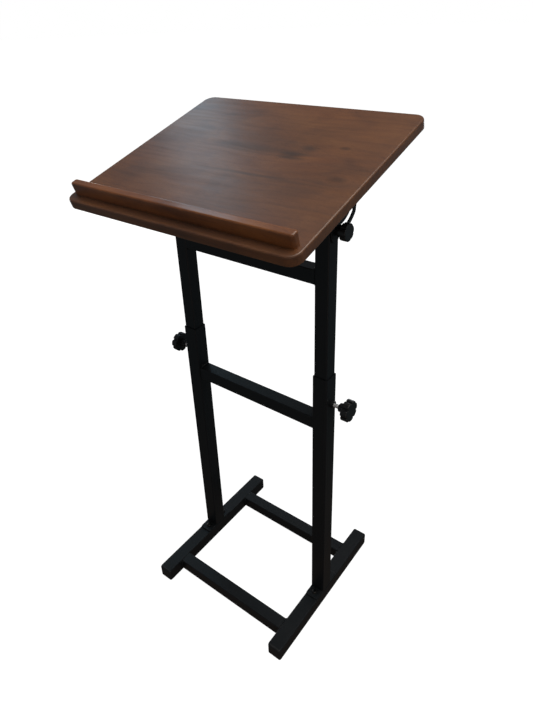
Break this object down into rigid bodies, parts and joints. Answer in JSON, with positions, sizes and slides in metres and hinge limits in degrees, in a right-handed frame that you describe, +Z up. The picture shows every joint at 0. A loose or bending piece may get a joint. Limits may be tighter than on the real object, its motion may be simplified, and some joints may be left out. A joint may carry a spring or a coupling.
{
  "type": "presentation lectern",
  "caption": "Tilting wooden reading desk with a book stop on a black square-tube stand, adjustable in height and slope by clamping knobs.",
  "frame": {"origin": "centre of the footprint, on the floor", "axes": "+Z up, +X to the reader's right, reader at -Y facing +Y"},
  "size_m": [0.48, 0.3862, 1.061],
  "materials": {
    "steel_black": "matt black powder coat with fine orange peel",
    "zinc": "bright zinc plate",
    "plastic_black": "moulded black plastic",
    "walnut": "walnut-stained hardwood under satin lacquer",
    "screw_black": "black zinc"
  },
  "bodies": {
    "base": {"base_runner_left": "steel_black", "base_runner_right": "steel_black", "runner_end_caps": "plastic_black", "base_crossbar_front": "steel_black", "base_crossbar_rear": "steel_black", "base_weld_fillets": "steel_black", "foot_plate_left": "steel_black", "foot_plate_right": "steel_black", "foot_screws": "screw_black", "foot_rivet_nuts": "zinc", "outer_post_left": "steel_black", "outer_post_right": "steel_black", "mid_crossbar": "steel_black", "mid_weld_fillets": "steel_black", "height_weld_nuts": "steel_black"},
    "upper_frame": {"inner_post_left": "steel_black", "inner_post_right": "steel_black", "post_top_caps": "plastic_black", "post_bottom_glides": "plastic_black", "upper_crossbar": "steel_black", "upper_weld_fillets": "steel_black", "tilt_strap_left": "steel_black", "tilt_strap_right": "steel_black", "tilt_weld_nuts": "zinc", "pivot_bolts": "zinc", "pivot_washers": "zinc", "pivot_nuts": "zinc"},
    "desk": {"arc_plate_left": "steel_black", "arc_plate_right": "steel_black", "arc_plate_screws": "zinc", "desk_board": "walnut", "book_stop": "walnut", "book_stop_screws": "zinc"},
    "height_knob_l": {"height_knob_left": "plastic_black", "height_stud_left": "zinc"},
    "height_knob_r": {"height_knob_right": "plastic_black", "height_stud_right": "zinc"},
    "tilt_knob_l": {"tilt_knob_left": "plastic_black", "tilt_stud_left": "zinc", "tilt_washer_left": "zinc"},
    "tilt_knob_r": {"tilt_knob_right": "plastic_black", "tilt_stud_right": "zinc", "tilt_washer_right": "zinc"}
  },
  "joints": [
    {"name": "height_slide", "type": "slide", "parent": "base", "child": "upper_frame", "axis": [0, 0, 1], "range_m": [-0.175, 0.105]},
    {"name": "board_tilt", "type": "hinge", "parent": "upper_frame", "child": "desk", "pos_m": [0, 0.00502, 0.968], "axis": [1, 0, 0], "range_deg": [-50, 3]},
    {"name": "height_knob_left_turn", "type": "hinge", "parent": "base", "child": "height_knob_l", "pos_m": [-0.204, 0.00502, 0.565], "axis": [-1, 0, 0], "range_deg": [0, 720]},
    {"name": "height_knob_right_turn", "type": "hinge", "parent": "base", "child": "height_knob_r", "pos_m": [0.204, 0.00502, 0.565], "axis": [1, 0, 0], "range_deg": [0, 720]},
    {"name": "tilt_knob_left_turn", "type": "hinge", "parent": "upper_frame", "child": "tilt_knob_l", "pos_m": [-0.19, 0.00502, 0.91], "axis": [-1, 0, 0], "range_deg": [0, 720]},
    {"name": "tilt_knob_right_turn", "type": "hinge", "parent": "upper_frame", "child": "tilt_knob_r", "pos_m": [0.19, 0.00502, 0.91], "axis": [1, 0, 0], "range_deg": [0, 720]}
  ]
}
